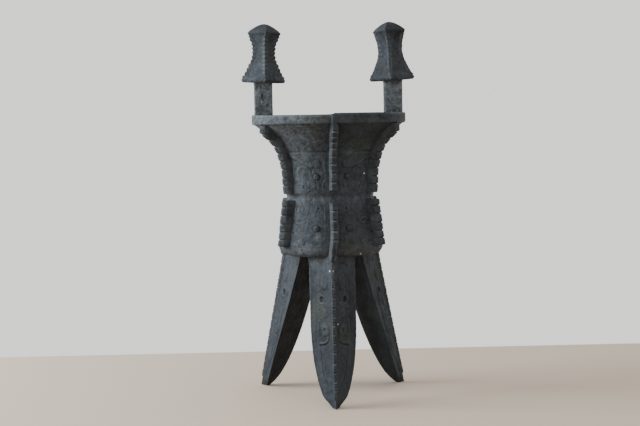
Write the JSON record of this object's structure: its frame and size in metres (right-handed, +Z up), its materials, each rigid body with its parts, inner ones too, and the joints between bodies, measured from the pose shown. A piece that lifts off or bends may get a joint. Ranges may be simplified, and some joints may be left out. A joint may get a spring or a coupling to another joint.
{
  "type": "jia wine vessel",
  "caption": "Cast bronze jia wine vessel: flared round beaker on leaf-shaped legs, capped posts on the rim, loop handle and toothed flanges.",
  "frame": {"origin": "on the floor under the feet, below the middle of the whole extent; the vessel's round body is centred 12.75 mm toward -Y of it", "axes": "+Z up, the front flange and front leg toward -Y, the handle toward +Y, the posts on -X and +X"},
  "size_m": [0.2266, 0.2516, 0.484],
  "materials": {
    "patinated_bronze": "cast bronze with a dull blue-grey patina and pale dust in its hollows"
  },
  "bodies": {
    "root": {"jia_vessel": "patinated_bronze"}
  },
  "joints": []
}
